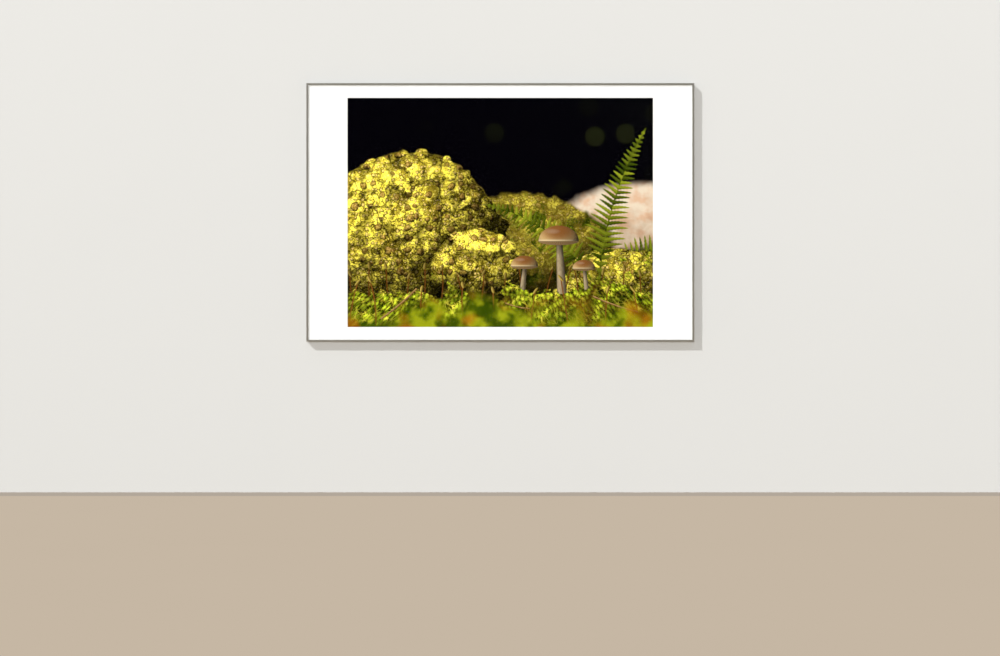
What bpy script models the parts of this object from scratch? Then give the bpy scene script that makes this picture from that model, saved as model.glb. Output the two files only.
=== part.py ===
"""A framed print for a wall: a slim aluminium frame with clear acrylic, a white window mat,
a landscape print on paper and a hardboard back, closed by spring clips and hung on two plates.

The front faces -Y and +Z is up. The wall is the plane y = 0, and the origin lies on it,
midway between the two screws or hooks that the frame hangs on.
"""

import math

import bmesh
import bpy
from mathutils import Matrix, Vector

MM = 0.001

# Driving sizes of the whole
PICTURE_W = 800 * MM  # what the mat's window shows of the print
PICTURE_H = 600 * MM
FRAME_H = 677 * MM  # over the aluminium
FRAME_W = FRAME_H * 3 / 2
FRAME_DEPTH = 22 * MM
PAD_HEIGHT = 3.5 * MM  # the rails' distance from the wall
HANG_DROP = 21 * MM  # from the top of the frame to the edge that hangs on the screws
HOOK_SPACING = 600 * MM

# Gaps that keep neighbouring pieces apart
TOUCH = 0.3 * MM
MITRE_BACK = TOUCH / 2 * math.sqrt(2)  # along a rail, for a gap of TOUCH across the mitre

# The rail's section
FACE_W = 5 * MM
LIP = 1.5 * MM
WALL = 1.2 * MM
RAIL_W = 11.5 * MM
CHANNEL_DEPTH = 4.4 * MM
SHELF = 1.0 * MM
SLOT_W = 4.7 * MM
FRONT_RADIUS = 0.5 * MM
BACK_RADIUS = 0.3 * MM
SLOT_AT = RAIL_W / 2  # from the frame's outer side to the middle of the slot

# Depths in front of the wall
RAIL_BACK = PAD_HEIGHT
RAIL_FRONT = RAIL_BACK + FRAME_DEPTH
CHANNEL_BACK = RAIL_BACK + WALL
CHANNEL_FRONT = CHANNEL_BACK + CHANNEL_DEPTH
SHELF_FRONT = CHANNEL_FRONT + SHELF
LIP_BACK = RAIL_FRONT - LIP

# The stack of sheets, from the front
SHEET_MARGIN = 2.0 * MM  # from the frame's outer side to the sheets' edge
GLAZING_T = 2.0 * MM
MAT_T = 1.4 * MM
PRINT_T = 0.5 * MM
BOARD_T = 3.0 * MM
GLAZING_FRONT = LIP_BACK - TOUCH
MAT_FRONT = GLAZING_FRONT - GLAZING_T - TOUCH
PRINT_FRONT = MAT_FRONT - MAT_T - TOUCH
BOARD_FRONT = PRINT_FRONT - PRINT_T - TOUCH
BOARD_BACK = BOARD_FRONT - BOARD_T

# Corner joints: two plates and four set screws in each corner's channel
LEG = 38 * MM
REAR_PLATE_T = 1.6 * MM
FRONT_PLATE_T = 1.2 * MM
SET_SCREW_R = 1.7 * MM
SET_SCREW_L = 2.7 * MM
SET_SCREW_PROUD = 0.4 * MM
SET_SCREW_AT = (19 * MM, 31 * MM)  # along each leg from the frame's outer corner
DRIVE_W = 0.6 * MM
DRIVE_DEPTH = 0.7 * MM

# Spring clips between the rails and the board
CLIP_L = 56 * MM
CLIP_W = 16 * MM
CLIP_T = 0.5 * MM
CLIP_FROM_SIDE = 3 * MM
CLIP_CORNER = 4 * MM
CLIPS = {  # places along each rail, from its middle
    "bottom": (-360 * MM, 0, 360 * MM),
    "right": (-165 * MM, 165 * MM),
    "top": (-410 * MM, 0, 410 * MM),
    "left": (-165 * MM, 165 * MM),
}

# Hanging plates
PLATE_W = 44 * MM
PLATE_FROM_TOP = 1 * MM
PLATE_BOTTOM = 38 * MM
PLATE_T = 1.2 * MM
PLATE_CORNER = 3 * MM
TOOTH_PITCH = 2 * MM
TOOTH_DEPTH = 0.9 * MM
TEETH = 8
EYE_DROP = 10 * MM
EYE_CORNER = 2.5 * MM
PLATE_SCREW_AT = 14 * MM  # from the plate's middle
PLATE_SCREW_HOLE_R = 2.1 * MM
PLATE_SCREW_R = 1.7 * MM
HEAD_R = 3.6 * MM
HEAD_T = 1.2 * MM
NUT_L = 38 * MM
NUT_T = 2.2 * MM

# Wall pads
PAD_R = 5 * MM
PAD_ROUND = 0.8 * MM

CHANNEL_PLATE_EDGE = WALL + TOUCH  # channel pieces keep this far in from the outer side
CHANNEL_PLATE_W = RAIL_W - 2 * CHANNEL_PLATE_EDGE
SHEET_W = FRAME_W - 2 * SHEET_MARGIN
SHEET_H = FRAME_H - 2 * SHEET_MARGIN
FRAME_CENTRE_Z = HANG_DROP - FRAME_H / 2

COLOURS = {  # base colour, roughness, metallic
    "anodised": ((0.30, 0.295, 0.26), 0.42, 1.0),
    "steel": ((0.62, 0.62, 0.60), 0.35, 1.0),
    "spring_steel": ((0.36, 0.38, 0.41), 0.30, 1.0),
    "acrylic": ((0.96, 0.98, 0.98), 0.05, 0.0),
    "mat_board": ((0.88, 0.88, 0.87), 0.80, 0.0),
    "paper": ((0.33, 0.33, 0.10), 0.60, 0.0),
    "hardboard": ((0.36, 0.24, 0.14), 0.75, 0.0),
    "rubber": ((0.30, 0.30, 0.30), 0.70, 0.0),
}


def clear_scene():
    for obj in list(bpy.data.objects):
        bpy.data.objects.remove(obj, do_unlink=True)


def collection(name):
    made = bpy.data.collections.new(name)
    bpy.context.scene.collection.children.link(made)
    return made


def material(name):
    """The finish of that name, made once."""
    if name in bpy.data.materials:
        return bpy.data.materials[name]
    colour, roughness, metallic = COLOURS[name]
    made = bpy.data.materials.new(name)
    made.use_nodes = True
    shader = made.node_tree.nodes["Principled BSDF"]
    shader.inputs["Base Color"].default_value = (*colour, 1)
    shader.inputs["Roughness"].default_value = roughness
    shader.inputs["Metallic"].default_value = metallic
    if name == "acrylic":
        shader.inputs["Transmission Weight"].default_value = 1.0
    return made


def place(obj, group, parent, location=(0, 0, 0), rotation=(0, 0, 0)):
    group.objects.link(obj)
    obj.parent = parent
    obj.location = location
    obj.rotation_euler = rotation
    return obj


def anchor(name, group, parent, location, turn):
    """An empty turned about Y, whose +X runs along a side, +Z inward and -Y to the front."""
    return place(bpy.data.objects.new(name, None), group, parent, location, (0, turn, 0))


def mesh_from(bm, name, finish):
    bmesh.ops.recalc_face_normals(bm, faces=bm.faces)
    mesh = bpy.data.meshes.new(name)
    bm.to_mesh(mesh)
    bm.free()
    mesh.materials.append(material(finish))
    return mesh


def corner_arc(before, corner, after, radius, steps=3):
    """The points that round one corner of an outline."""
    before, corner, after = (Vector(p) for p in (before, corner, after))
    if radius == 0:
        return [corner]
    to_before = (before - corner).normalized()
    to_after = (after - corner).normalized()
    half = to_before.angle(to_after) / 2
    centre = corner + (to_before + to_after).normalized() * (radius / math.sin(half))
    start = corner + to_before * (radius / math.tan(half)) - centre
    end = corner + to_after * (radius / math.tan(half)) - centre
    whole = start.angle_signed(end)
    return [centre + Matrix.Rotation(-whole * i / steps, 2) @ start for i in range(steps + 1)]


def rounded(corners):
    """An outline from corners given as (x, y, radius)."""
    points = []
    for i, (x, y, radius) in enumerate(corners):
        before, after = corners[i - 1][:2], corners[(i + 1) % len(corners)][:2]
        points += corner_arc(before, (x, y), after, radius)
    return points


def circle(x, y, radius, segments=20):
    turn = 2 * math.pi / segments
    return [
        Vector((x + radius * math.cos(turn * i), y + radius * math.sin(turn * i)))
        for i in range(segments)
    ]


def flat_piece(name, outlines, thickness, finish):
    """A plate from a 2D curve: the first outline is its edge and the others are its holes."""
    curve = bpy.data.curves.new(name, "CURVE")
    curve.dimensions = "2D"
    curve.fill_mode = "BOTH"
    curve.extrude = thickness / 2
    for outline in outlines:
        spline = curve.splines.new("POLY")
        spline.points.add(len(outline) - 1)
        for point, (x, y) in zip(spline.points, outline):
            point.co = (x, y, 0, 1)
        spline.use_cyclic_u = True
    curve.materials.append(material(finish))
    return bpy.data.objects.new(name, curve)


UPRIGHT = (math.pi / 2, 0, 0)  # stands a flat piece up: its own Y becomes Z, its Z faces the front


def sheet(name, width, height, thickness, finish):
    """A flat sheet about its own middle, facing -Y."""
    bm = bmesh.new()
    bmesh.ops.create_cube(bm, size=1)
    bmesh.ops.scale(bm, vec=(width, thickness, height), verts=bm.verts)
    return bpy.data.objects.new(name, mesh_from(bm, name, finish))


def turned(name, profile, segments, finish):
    """A round piece about Y from (radius, y) points that start and end on its axis."""
    bm = bmesh.new()
    verts = [bm.verts.new((radius, y, 0)) for radius, y in profile]
    edges = [bm.edges.new(pair) for pair in zip(verts, verts[1:])]
    bmesh.ops.spin(
        bm, geom=verts + edges, axis=(0, 1, 0), cent=(0, 0, 0),
        angle=2 * math.pi, steps=segments, use_merge=True,
    )
    bmesh.ops.remove_doubles(bm, verts=bm.verts, dist=0.001 * MM)
    return mesh_from(bm, name, finish)


def cut(mesh, cutter_mesh):
    """The mesh with the cutter's shape taken out, as a new mesh."""
    whole = bpy.data.objects.new("cut_whole", mesh)
    cutter = bpy.data.objects.new("cut_cutter", cutter_mesh)
    for obj in (whole, cutter):
        bpy.context.scene.collection.objects.link(obj)
    boolean = whole.modifiers.new("cut", "BOOLEAN")
    boolean.operation = "DIFFERENCE"
    boolean.object = cutter
    graph = bpy.context.evaluated_depsgraph_get()
    result = bpy.data.meshes.new_from_object(whole.evaluated_get(graph))
    for obj in (whole, cutter):
        bpy.data.objects.remove(obj)
    return result


def box_mesh(name, low, high):
    bm = bmesh.new()
    bmesh.ops.create_cube(bm, size=1)
    size = Vector(high) - Vector(low)
    bmesh.ops.scale(bm, vec=size, verts=bm.verts)
    bmesh.ops.translate(bm, vec=(Vector(high) + Vector(low)) / 2, verts=bm.verts)
    return mesh_from(bm, name, "steel")


def rail_section():
    """The rail's outline as (distance in from the outer side, depth in front of the wall)."""
    slot_near, slot_far = SLOT_AT - SLOT_W / 2, SLOT_AT + SLOT_W / 2
    inside = RAIL_W - WALL
    return rounded([
        (0, RAIL_BACK, BACK_RADIUS),
        (slot_near, RAIL_BACK, 0),
        (slot_near, CHANNEL_BACK, 0),
        (WALL, CHANNEL_BACK, 0),
        (WALL, CHANNEL_FRONT, 0),
        (inside, CHANNEL_FRONT, 0),
        (inside, CHANNEL_BACK, 0),
        (slot_far, CHANNEL_BACK, 0),
        (slot_far, RAIL_BACK, 0),
        (RAIL_W, RAIL_BACK, BACK_RADIUS),
        (RAIL_W, SHELF_FRONT, BACK_RADIUS),
        (WALL, SHELF_FRONT, 0),
        (WALL, LIP_BACK, 0),
        (FACE_W, LIP_BACK, 0),
        (FACE_W, RAIL_FRONT, FRONT_RADIUS),
        (0, RAIL_FRONT, FRONT_RADIUS),
    ])


def rail(name, length):
    """One mitred rail: its section drawn along X, with each end sheared back to the mitre."""
    bm = bmesh.new()
    verts = [bm.verts.new((0, -depth, inward)) for inward, depth in rail_section()]
    end = bm.faces.new(verts)
    drawn = bmesh.ops.extrude_face_region(bm, geom=[end], use_keep_orig=True)
    far = [v for v in drawn["geom"] if isinstance(v, bmesh.types.BMVert)]
    for vert in bm.verts:
        side = 1 if vert in far else -1
        vert.co.x = side * (length / 2 - vert.co.z - MITRE_BACK)
    return bpy.data.objects.new(name, mesh_from(bm, name, "anodised"))


def mat_board():
    """The window mat. Its opening is bevelled, narrowest at the print."""
    flare = MAT_T + TOUCH  # the cutter's slope is 45 degrees and runs past both faces
    bm = bmesh.new()
    bmesh.ops.create_cube(bm, size=1)
    bmesh.ops.scale(bm, vec=(PICTURE_W, MAT_T + 2 * TOUCH, PICTURE_H), verts=bm.verts)
    for vert in bm.verts:
        grow = flare if vert.co.y < 0 else -TOUCH
        vert.co.x += math.copysign(grow, vert.co.x)
        vert.co.z += math.copysign(grow, vert.co.z)
    opening = mesh_from(bm, "mat_opening", "mat_board")
    board = sheet("mat_blank", SHEET_W, SHEET_H, MAT_T, "mat_board")
    mesh = cut(board.data, opening)
    bpy.data.objects.remove(board)
    return bpy.data.objects.new("window_mat", mesh)


def corner_outline():
    """An L along two channels, from the frame's outer corner."""
    near = CHANNEL_PLATE_EDGE
    far = near + CHANNEL_PLATE_W
    return rounded([
        (near, near, MM),
        (LEG, near, MM),
        (LEG, far, MM),
        (far, far, MM / 2),
        (far, LEG, MM),
        (near, LEG, MM),
    ])


def corner_screw_places():
    return [(at, SLOT_AT) for at in SET_SCREW_AT] + [(SLOT_AT, at) for at in SET_SCREW_AT]


def set_screw_mesh():
    """A headless screw, with its driving slot towards the wall."""
    chamfer = 0.3 * MM
    profile = [
        (0, 0),
        (SET_SCREW_R - chamfer, 0),
        (SET_SCREW_R, -chamfer),
        (SET_SCREW_R, chamfer - SET_SCREW_L),
        (SET_SCREW_R - chamfer, -SET_SCREW_L),
        (0, -SET_SCREW_L),
    ]
    blank = turned("set_screw", profile, 20, "steel")
    reach = SET_SCREW_R + MM
    slot = box_mesh("drive_slot", (-reach, -DRIVE_DEPTH, -DRIVE_W / 2), (reach, MM, DRIVE_W / 2))
    return cut(blank, slot)


def plate_screw_mesh():
    """A low pan-head screw. Its head's underside is at y = 0 and its shank runs to the front."""
    shank = RAIL_BACK + WALL + NUT_T - PLATE_T / 2
    profile = [
        (0, HEAD_T),
        (HEAD_R * 0.7, HEAD_T),
        (HEAD_R * 0.93, HEAD_T * 0.65),
        (HEAD_R, HEAD_T * 0.3),
        (HEAD_R, 0),
        (PLATE_SCREW_R, 0),
        (PLATE_SCREW_R, -shank),
        (0, -shank),
    ]
    blank = turned("plate_screw", profile, 24, "steel")
    long, wide, deep = HEAD_R * 0.62, DRIVE_W / 2, HEAD_T * 0.5
    for reach_x, reach_z in ((long, wide), (wide, long)):
        bar = box_mesh("cross_bar", (-reach_x, deep, -reach_z), (reach_x, 2 * HEAD_T, reach_z))
        blank = cut(blank, bar)
    return blank


def eye_outline():
    """The hanging plate's opening. Its toothed edge rests on the wall screw."""
    half = TEETH * TOOTH_PITCH / 2
    teeth = []
    for i in range(TEETH):
        x = -half + i * TOOTH_PITCH
        teeth += [(x, HANG_DROP), (x + TOOTH_PITCH / 2, HANG_DROP + TOOTH_DEPTH)]
    side = half + MM
    bottom = HANG_DROP + EYE_DROP
    body = rounded([
        (side, HANG_DROP + MM, MM / 2),
        (side, bottom, EYE_CORNER),
        (-side, bottom, EYE_CORNER),
        (-side, HANG_DROP + MM, MM / 2),
    ])
    return [Vector(p) for p in teeth] + [Vector((half, HANG_DROP))] + body


def hanging_plate(name):
    half = PLATE_W / 2
    edge = rounded([
        (-half, PLATE_FROM_TOP, PLATE_CORNER),
        (half, PLATE_FROM_TOP, PLATE_CORNER),
        (half, HANG_DROP, PLATE_CORNER),
        (half - 6 * MM, PLATE_BOTTOM, 2 * PLATE_CORNER),
        (6 * MM - half, PLATE_BOTTOM, 2 * PLATE_CORNER),
        (-half, HANG_DROP, PLATE_CORNER),
    ])
    holes = [circle(x, SLOT_AT, PLATE_SCREW_HOLE_R) for x in (-PLATE_SCREW_AT, PLATE_SCREW_AT)]
    return flat_piece(name, [edge, eye_outline(), *holes], PLATE_T, "steel")


def nut_strip(name):
    near, far = CHANNEL_PLATE_EDGE, CHANNEL_PLATE_EDGE + CHANNEL_PLATE_W
    half = NUT_L / 2
    edge = rounded([(-half, near, MM), (half, near, MM), (half, far, MM), (-half, far, MM)])
    holes = [circle(x, SLOT_AT, PLATE_SCREW_HOLE_R) for x in (-PLATE_SCREW_AT, PLATE_SCREW_AT)]
    return flat_piece(name, [edge, *holes], NUT_T, "steel")


def spring_clip_mesh():
    """A bowed leaf spring. Its ends bear on the board and its crown on the rail's shelf."""
    foot = BOARD_BACK - TOUCH - CLIP_T / 2
    crown = SHELF_FRONT + TOUCH + CLIP_T / 2
    steps, rows = 16, 4
    bm = bmesh.new()
    bmesh.ops.create_grid(bm, x_segments=steps, y_segments=rows, size=0.5)
    for vert in bm.verts:
        along = 2 * vert.co.x
        from_end = (1 - abs(along)) * CLIP_L / 2
        taper = math.sqrt(max(0, 1 - (1 - min(1, from_end / CLIP_CORNER)) ** 2))
        width = CLIP_W - 2 * CLIP_CORNER * (1 - taper)
        bow = 0.5 + 0.5 * math.cos(math.pi * along)
        vert.co = (
            along * CLIP_L / 2,
            -(foot + (crown - foot) * bow),
            CLIP_FROM_SIDE + CLIP_W / 2 + vert.co.y * width,
        )
    return mesh_from(bm, "spring_clip", "spring_steel")


def wall_pad(name):
    """A soft pad whose flat top rests on the wall."""
    height = PAD_HEIGHT - TOUCH
    flat = PAD_R - PAD_ROUND
    arc = [(0, 1), (0.38, 0.92), (0.71, 0.71), (0.92, 0.38), (1, 0)]
    rim = [(flat + PAD_ROUND * x, PAD_ROUND * (y - 1)) for x, y in arc]
    return bpy.data.objects.new(name, turned(name, [(0, 0), *rim, (PAD_R, -height), (0, -height)], 24, "rubber"))


def build_sheets(group, middle):
    for obj, front, thickness in (
        (sheet("acrylic_glazing", SHEET_W, SHEET_H, GLAZING_T, "acrylic"), GLAZING_FRONT, GLAZING_T),
        (mat_board(), MAT_FRONT, MAT_T),
        (sheet("print_sheet", SHEET_W, SHEET_H, PRINT_T, "paper"), PRINT_FRONT, PRINT_T),
        (sheet("back_board", SHEET_W, SHEET_H, BOARD_T, "hardboard"), BOARD_FRONT, BOARD_T),
    ):
        place(obj, group, middle, (0, thickness / 2 - front, 0))


def build_corner(group, corner, name, screw_mesh):
    holes = [circle(x, z, SET_SCREW_R + TOUCH) for x, z in corner_screw_places()]
    rear = flat_piece("corner_nut_" + name, [corner_outline(), *holes], REAR_PLATE_T, "steel")
    front = flat_piece("corner_plate_" + name, [corner_outline()], FRONT_PLATE_T, "steel")
    rear_back = CHANNEL_BACK + TOUCH
    front_front = CHANNEL_FRONT - TOUCH
    place(rear, group, corner, (0, -(rear_back + REAR_PLATE_T / 2), 0), UPRIGHT)
    place(front, group, corner, (0, -(front_front - FRONT_PLATE_T / 2), 0), UPRIGHT)
    for i, (x, z) in enumerate(corner_screw_places(), 1):
        screw = bpy.data.objects.new(f"set_screw_{name}_{i}", screw_mesh)
        place(screw, group, corner, (x, SET_SCREW_PROUD - rear_back, z), (0, i * 0.7, 0))


def build_hanger(group, top, name, x, screw_mesh):
    plate_middle = RAIL_BACK - TOUCH - PLATE_T / 2
    nut_middle = CHANNEL_BACK + TOUCH + NUT_T / 2
    head_under = plate_middle - PLATE_T / 2 - TOUCH
    place(hanging_plate("hanging_plate_" + name), group, top, (x, -plate_middle, 0), UPRIGHT)
    place(nut_strip("nut_strip_" + name), group, top, (x, -nut_middle, 0), UPRIGHT)
    for i, side in enumerate((-1, 1), 1):
        screw = bpy.data.objects.new(f"plate_screw_{name}_{i}", screw_mesh)
        place(screw, group, top, (x + side * PLATE_SCREW_AT, -head_under, SLOT_AT), (0, i * 0.4, 0))


def build_clips(group, side, name, clip_mesh):
    for i, x in enumerate(CLIPS[name], 1):
        clip = place(bpy.data.objects.new(f"spring_clip_{name}_{i}", clip_mesh), group, side, (x, 0, 0))
        leaf = clip.modifiers.new("leaf", "SOLIDIFY")
        leaf.thickness = CLIP_T
        leaf.offset = 0


def main():
    clear_scene()
    group = collection("framed_print")
    middle = place(
        bpy.data.objects.new("frame_middle", None), group, None, (0, 0, FRAME_CENTRE_Z)
    )
    build_sheets(group, middle)
    clip_mesh = spring_clip_mesh()
    set_screw = set_screw_mesh()
    plate_screw = plate_screw_mesh()
    half_w, half_h = FRAME_W / 2, FRAME_H / 2
    quarter = math.pi / 2
    sides = {
        "bottom": (FRAME_W, (0, 0, -half_h), 0),
        "right": (FRAME_H, (half_w, 0, 0), -quarter),
        "top": (FRAME_W, (0, 0, half_h), 2 * quarter),
        "left": (FRAME_H, (-half_w, 0, 0), quarter),
    }
    for name, (length, location, turn) in sides.items():
        side = anchor("side_" + name, group, middle, location, turn)
        place(rail("rail_" + name, length), group, side)
        build_clips(group, side, name, clip_mesh)
        if name == "top":
            for hanger, x in (("left", HOOK_SPACING / 2), ("right", -HOOK_SPACING / 2)):
                build_hanger(group, side, hanger, x, plate_screw)
    corners = {
        "bottom_left": ((-half_w, 0, -half_h), 0),
        "bottom_right": ((half_w, 0, -half_h), -quarter),
        "top_right": ((half_w, 0, half_h), 2 * quarter),
        "top_left": ((-half_w, 0, half_h), quarter),
    }
    for name, (location, turn) in corners.items():
        corner = anchor("corner_" + name, group, middle, location, turn)
        build_corner(group, corner, name, set_screw)
        place(wall_pad("wall_pad_" + name), group, corner, (SLOT_AT, 0, SLOT_AT))


main()
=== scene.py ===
"""A framed woodland print for a wall, with the finish of every piece.

The print lies behind a window mat and clear acrylic in a slim anodised frame. Spring clips hold
the stack from behind, plates and set screws join the corners, and two plates hang it on the wall.
The front faces -Y, +Z is up, and the wall is the plane y = 0.
"""

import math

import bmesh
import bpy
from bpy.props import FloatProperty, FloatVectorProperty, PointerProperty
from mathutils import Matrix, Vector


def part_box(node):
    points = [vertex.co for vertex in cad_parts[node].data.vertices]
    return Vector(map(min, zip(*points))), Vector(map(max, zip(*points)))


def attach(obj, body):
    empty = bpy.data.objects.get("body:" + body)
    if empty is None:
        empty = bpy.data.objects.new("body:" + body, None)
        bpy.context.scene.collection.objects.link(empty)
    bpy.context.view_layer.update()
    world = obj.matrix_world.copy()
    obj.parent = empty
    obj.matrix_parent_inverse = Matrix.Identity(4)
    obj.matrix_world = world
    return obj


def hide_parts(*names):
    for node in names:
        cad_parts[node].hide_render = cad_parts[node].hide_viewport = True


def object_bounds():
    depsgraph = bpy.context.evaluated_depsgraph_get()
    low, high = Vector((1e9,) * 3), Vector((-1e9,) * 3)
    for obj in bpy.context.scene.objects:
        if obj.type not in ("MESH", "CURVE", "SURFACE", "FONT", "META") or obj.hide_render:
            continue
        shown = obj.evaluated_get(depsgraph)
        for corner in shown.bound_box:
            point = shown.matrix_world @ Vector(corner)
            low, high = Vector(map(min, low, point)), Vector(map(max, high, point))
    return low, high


bl_info = {
    "name": "Framed Woodland Print",
    "version": (1, 0, 0),
    "blender": (4, 5, 0),
    "location": "3D View > Sidebar > Framed Print",
    "description": "Builds a framed woodland print with its mat, glazing, back and hardware",
    "category": "Add Mesh",
}

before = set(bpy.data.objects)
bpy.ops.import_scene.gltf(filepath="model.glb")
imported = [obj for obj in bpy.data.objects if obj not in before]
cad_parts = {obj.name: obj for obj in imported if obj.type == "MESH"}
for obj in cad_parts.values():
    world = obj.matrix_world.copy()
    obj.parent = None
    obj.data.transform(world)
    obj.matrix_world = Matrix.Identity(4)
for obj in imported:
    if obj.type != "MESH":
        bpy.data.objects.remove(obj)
CAD_LOW, CAD_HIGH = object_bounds()

MM = 0.001
BODY = "root"
FRAME_W = CAD_HIGH.x - CAD_LOW.x
FRAME_H = CAD_HIGH.z - CAD_LOW.z
MIDDLE = Vector((0, 0, (CAD_LOW.z + CAD_HIGH.z) / 2))
RAIL_BACK = -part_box("rail_top")[1].y  # depths are distances in front of the wall
RAIL_FRONT = -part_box("rail_top")[0].y
SLOT_AT = (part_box("wall_pad_top_left")[0].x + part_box("wall_pad_top_left")[1].x) / 2 - CAD_LOW.x
MERGE = 0.001 * MM
CREASE = math.radians(50)  # a sharper edge isn't shaded smooth
QUARTER = math.pi / 2
CORNERS = ("bottom_left", "bottom_right", "top_right", "top_left")


# Settings


def number_setting(name, description, default, **more):
    return FloatProperty(name=name, description=description, default=default, **more)


def length_setting(name, description, default):
    return number_setting(name, description, default, unit="LENGTH", precision=5)


def share_setting(name, description, default):
    return number_setting(name, description, default, subtype="FACTOR", min=0, max=1)


def colour_setting(name, description, default):
    return FloatVectorProperty(
        name=name, description=description, default=default, subtype="COLOR", size=3, min=0, max=1
    )


class RailSettings(bpy.types.PropertyGroup):
    face: length_setting("Face", "Width of the rail as seen from the front", 5 * MM)
    width: length_setting("Width", "How far the rail reaches in behind the sheets", 11.5 * MM)
    wall: length_setting("Wall", "Thickness of the rail's walls", 1.2 * MM)
    lip: length_setting("Lip", "Thickness of the front lip", 1.5 * MM)
    channel: length_setting("Channel", "Depth of the hardware channel", 4.4 * MM)
    shelf: length_setting("Shelf", "Thickness of the shelf behind the clips", 1.0 * MM)
    slot: length_setting("Slot", "Width of the channel's slot", 4.7 * MM)
    soft_front: length_setting("Front edge", "Radius of the front edges", 0.5 * MM)
    soft_back: length_setting("Back edge", "Radius of the rear edges", 0.25 * MM)
    mitre_gap: length_setting("Mitre gap", "Gap between two rails at a corner", 0.08 * MM)
    colour: colour_setting("Colour", "Anodised colour", (0.46, 0.452, 0.41))
    roughness: share_setting("Roughness", "How matt the anodising is", 0.36)


class SheetSettings(bpy.types.PropertyGroup):
    window_w: length_setting("Window width", "Width of the picture that shows", 0.8)
    window_h: length_setting("Window height", "Height of the picture that shows", 0.6)
    bleed: length_setting("Bleed", "How far the picture runs on under the mat", 4 * MM)
    mat_colour: colour_setting("Mat", "Colour of the mat's face", (0.86, 0.86, 0.855))
    core_colour: colour_setting("Mat core", "Colour of the cut bevel", (0.90, 0.90, 0.885))
    paper_colour: colour_setting("Paper", "Colour of the print's bare margin", (0.86, 0.85, 0.82))
    board_colour: colour_setting("Hardboard", "Colour of the back board", (0.235, 0.135, 0.066))
    glazing_index: number_setting("Glazing index", "How strongly the coated acrylic mirrors", 1.07)


class PictureSettings(bpy.types.PropertyGroup):
    ink: share_setting("Ink", "How bright the printed colours are", 0.83)
    dark: colour_setting("Wood", "Unlit wood behind the stones", (0.0006, 0.0004, 0.0014))
    gap: colour_setting("Gaps", "Shadow between cushions of lichen", (0.021, 0.014, 0.0006))
    olive: colour_setting("Olive", "Lichen in half shade", (0.231, 0.175, 0.013))
    yellow: colour_setting("Yellow", "Lichen in full light", (0.700, 0.585, 0.060))
    cream: colour_setting("Cream", "Pale crusts of lichen", (0.871, 0.776, 0.300))
    green: colour_setting("Green", "Older moss", (0.075, 0.125, 0.0024))
    bright: colour_setting("Fresh green", "Young moss and tips", (0.445, 0.515, 0.021))
    brown: colour_setting("Brown", "Warts of dark lichen", (0.107, 0.045, 0.006))
    pale: colour_setting("Pale stone", "The far stone, out of focus", (0.860, 0.730, 0.570))


class HardwareSettings(bpy.types.PropertyGroup):
    steel: colour_setting("Steel", "Zinc-plated plates and screws", (0.60, 0.60, 0.585))
    spring: colour_setting("Spring steel", "Tempered clips", (0.27, 0.30, 0.35))
    pad: colour_setting("Wall pad", "Soft pads on the corners", (0.34, 0.34, 0.33))
    soften: length_setting("Soft edge", "Radius of the plates' edges", 0.12 * MM)


class StageSettings(bpy.types.PropertyGroup):
    wall: colour_setting("Wall", "Wall paint", (0.594, 0.602, 0.594))
    floor: colour_setting("Floor", "What the floor sends out, evenly lit", (0.565, 0.474, 0.371))
    # painted shade: a darker strip along the foot of the wall stands in for the shade where the wall meets
    # the floor
    painted_shade_line: colour_setting("Joint", "The dark line between the wall and the floor", (0.445, 0.386, 0.323))
    painted_shade_line_h: length_setting("Joint height", "Height of that line", 9.7 * MM)
    backdrop: colour_setting("Backdrop", "What shows beyond the wall and the floor", (0.80, 0.80, 0.78))
    floor_drop: length_setting("Floor drop", "From the middle of the frame down to the floor", 0.7441)
    ambient: number_setting("Ambient", "Radiance of the soft light from all round", 0.4)
    fill: number_setting("Fill", "Strength of the light from the front", 1.76)
    key: number_setting("Key", "Strength of the light from the upper left", 2.10)
    behind: number_setting("Behind", "Strength of the light on the back", 2.4)
    lens: number_setting("Lens", "Focal length in millimetres", 85)
    pixel: length_setting("Pixel", "What one pixel spans at the front of the frame", 2.6175 * MM)


class FramedPrintSettings(bpy.types.PropertyGroup):
    rails: PointerProperty(type=RailSettings)
    sheets: PointerProperty(type=SheetSettings)
    picture: PointerProperty(type=PictureSettings)
    hardware: PointerProperty(type=HardwareSettings)
    stage: PointerProperty(type=StageSettings)


def settings():
    return bpy.context.scene.framed_print


# Shader maths as expressions


def joined(operation, swapped=False):
    """A method of Link that adds the node for an operator, with its two sides swapped or not."""
    def method(self, other):
        return self.finish.maths(operation, *((other, self) if swapped else (self, other)))
    return method


class Link:
    """One output of a finish's nodes. Arithmetic on it adds the nodes that do it."""

    def __init__(self, finish, socket):
        self.finish = finish
        self.socket = socket

    def output(self, name):
        return Link(self.finish, self.socket.node.outputs[name])

    __add__, __radd__ = joined("ADD"), joined("ADD", swapped=True)
    __sub__, __rsub__ = joined("SUBTRACT"), joined("SUBTRACT", swapped=True)
    __mul__, __rmul__ = joined("MULTIPLY"), joined("MULTIPLY", swapped=True)
    __truediv__, __rtruediv__ = joined("DIVIDE"), joined("DIVIDE", swapped=True)
    __pow__ = joined("POWER")

    def __abs__(self):
        return self.finish.maths("ABSOLUTE", self)


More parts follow.
